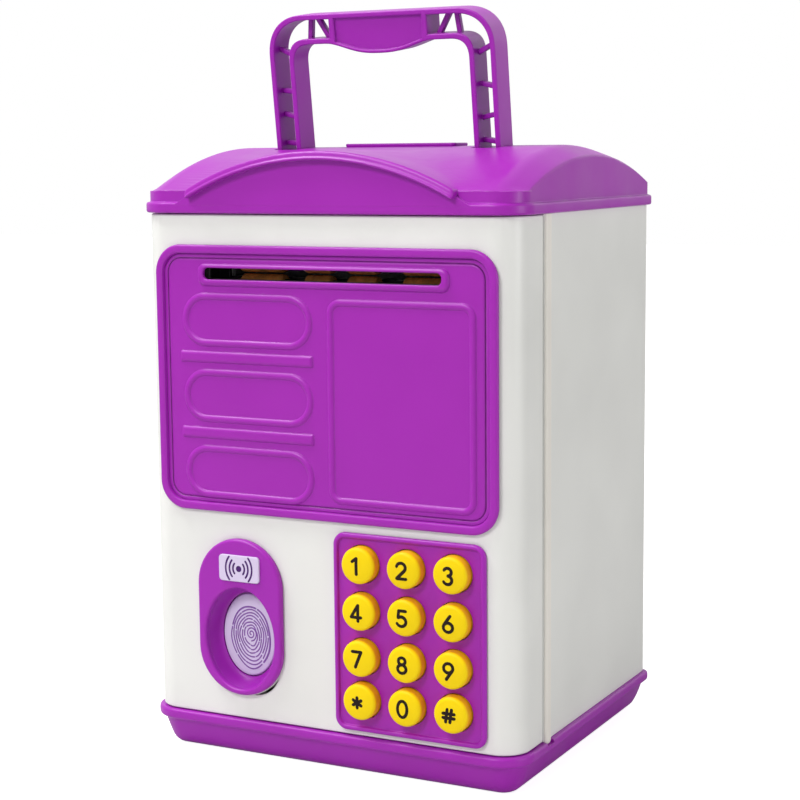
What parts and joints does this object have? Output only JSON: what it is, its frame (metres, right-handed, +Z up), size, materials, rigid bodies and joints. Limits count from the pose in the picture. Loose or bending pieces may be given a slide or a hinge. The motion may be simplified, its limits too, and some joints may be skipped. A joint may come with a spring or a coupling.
{
  "type": "toy atm savings bank",
  "caption": "Toy savings bank like a small cash machine: vaulted roof with carry handle and coin slot, hinged door with note slot, keypad and fingerprint button.",
  "frame": {"origin": "middle of the flat face that the base rests on, centred on the case in plan", "axes": "+Z up, +Y from the door to the back, +X to the right as the door is faced"},
  "size_m": [0.1332, 0.114, 0.2365],
  "materials": {
    "purple_plastic": "moulded satin gloss",
    "white_plastic": "moulded satin gloss",
    "yellow_plastic": "moulded gloss, printed glyphs",
    "lilac_plastic": "printed satin",
    "black_plastic": "moulded matte",
    "roller_rubber": "matte",
    "dark_rubber": "matte",
    "steel": "zinc plated",
    "circuit_board": "solder mask",
    "cell_jacket": "printed sleeve",
    "wire_jacket": "extruded"
  },
  "bodies": {
    "case": {"base_tray": "purple_plastic", "floor_plate": "white_plastic", "battery_housing": "black_plastic", "battery_cover": "purple_plastic", "battery_cover_screw": "steel", "battery_cell_1": "cell_jacket", "battery_cell_2": "cell_jacket", "battery_cell_3": "cell_jacket", "contact_plate_left": "steel", "contact_plate_right": "steel", "body_shell": "white_plastic", "roof_cover": "purple_plastic", "top_plate": "white_plastic", "coin_chute": "purple_plastic", "hinge_pin_top": "steel", "hinge_pin_bottom": "steel", "handle_pin_left": "steel", "handle_pin_right": "steel", "lock_coil": "steel", "base_screw_1": "steel", "base_screw_2": "steel", "base_screw_3": "steel", "base_screw_4": "steel", "roof_screw_1": "steel", "roof_screw_2": "steel", "roof_screw_3": "steel", "roof_screw_4": "steel"},
    "door": {"door_shell": "white_plastic", "slot_panel": "purple_plastic", "keypad_panel": "purple_plastic", "fingerprint_bezel": "purple_plastic", "signal_label": "lilac_plastic", "key_membrane": "dark_rubber", "keypad_board": "circuit_board", "fingerprint_board": "circuit_board", "roller_housing": "black_plastic", "feed_motor": "steel", "drive_belt": "dark_rubber", "door_inner_cover": "white_plastic", "latch_keeper": "steel", "speaker": "black_plastic", "motor_lead": "wire_jacket"},
    "handle": {"carry_handle": "purple_plastic"},
    "bolt": {"lock_bolt": "steel"},
    "fingerprint": {"fingerprint_button": "lilac_plastic"},
    "drive": {"drive_roller": "roller_rubber"},
    "idler": {"idler_roller": "roller_rubber"},
    "pulley": {"motor_pulley": "black_plastic"},
    "button_1": {"key_1": "yellow_plastic"},
    "button_2": {"key_2": "yellow_plastic"},
    "button_3": {"key_3": "yellow_plastic"},
    "button_4": {"key_4": "yellow_plastic"},
    "button_5": {"key_5": "yellow_plastic"},
    "button_6": {"key_6": "yellow_plastic"},
    "button_7": {"key_7": "yellow_plastic"},
    "button_8": {"key_8": "yellow_plastic"},
    "button_9": {"key_9": "yellow_plastic"},
    "button_star": {"key_star": "yellow_plastic"},
    "button_0": {"key_0": "yellow_plastic"},
    "button_hash": {"key_hash": "yellow_plastic"}
  },
  "joints": [
    {"name": "door_hinge", "type": "hinge", "parent": "case", "child": "door", "pos_m": [-0.061, -0.0398, 0.093], "axis": [0, 0, -1], "range_deg": [0, 95]},
    {"name": "handle_swing", "type": "hinge", "parent": "case", "child": "handle", "pos_m": [0, -0.005, 0.185], "axis": [-1, 0, 0], "range_deg": [0, 80]},
    {"name": "lock_bolt_slide", "type": "slide", "parent": "case", "child": "bolt", "axis": [0, 0, -1], "range_m": [0, 0.006]},
    {"name": "fingerprint_press", "type": "slide", "parent": "door", "child": "fingerprint", "axis": [0, 1, 0], "range_m": [0, 0.0015]},
    {"name": "drive_roller_spin", "type": "hinge", "parent": "door", "child": "drive", "pos_m": [0, -0.0446, 0.1587], "axis": [1, 0, 0], "continuous": true},
    {"name": "idler_roller_spin", "type": "hinge", "parent": "door", "child": "idler", "pos_m": [0, -0.0446, 0.1512], "axis": [1, 0, 0], "continuous": true},
    {"name": "motor_pulley_spin", "type": "hinge", "parent": "door", "child": "pulley", "pos_m": [0.049, -0.0446, 0.129], "axis": [1, 0, 0], "continuous": true},
    {"name": "key_1_press", "type": "slide", "parent": "door", "child": "button_1", "axis": [0, 1, 0], "range_m": [0, 0.0015]},
    {"name": "key_2_press", "type": "slide", "parent": "door", "child": "button_2", "axis": [0, 1, 0], "range_m": [0, 0.0015]},
    {"name": "key_3_press", "type": "slide", "parent": "door", "child": "button_3", "axis": [0, 1, 0], "range_m": [0, 0.0015]},
    {"name": "key_4_press", "type": "slide", "parent": "door", "child": "button_4", "axis": [0, 1, 0], "range_m": [0, 0.0015]},
    {"name": "key_5_press", "type": "slide", "parent": "door", "child": "button_5", "axis": [0, 1, 0], "range_m": [0, 0.0015]},
    {"name": "key_6_press", "type": "slide", "parent": "door", "child": "button_6", "axis": [0, 1, 0], "range_m": [0, 0.0015]},
    {"name": "key_7_press", "type": "slide", "parent": "door", "child": "button_7", "axis": [0, 1, 0], "range_m": [0, 0.0015]},
    {"name": "key_8_press", "type": "slide", "parent": "door", "child": "button_8", "axis": [0, 1, 0], "range_m": [0, 0.0015]},
    {"name": "key_9_press", "type": "slide", "parent": "door", "child": "button_9", "axis": [0, 1, 0], "range_m": [0, 0.0015]},
    {"name": "key_star_press", "type": "slide", "parent": "door", "child": "button_star", "axis": [0, 1, 0], "range_m": [0, 0.0015]},
    {"name": "key_0_press", "type": "slide", "parent": "door", "child": "button_0", "axis": [0, 1, 0], "range_m": [0, 0.0015]},
    {"name": "key_hash_press", "type": "slide", "parent": "door", "child": "button_hash", "axis": [0, 1, 0], "range_m": [0, 0.0015]}
  ],
  "couplings": [
    {"joint": "idler_roller_spin", "follows": "drive_roller_spin", "ratio": -1.3333},
    {"joint": "motor_pulley_spin", "follows": "drive_roller_spin", "ratio": 2}
  ]
}
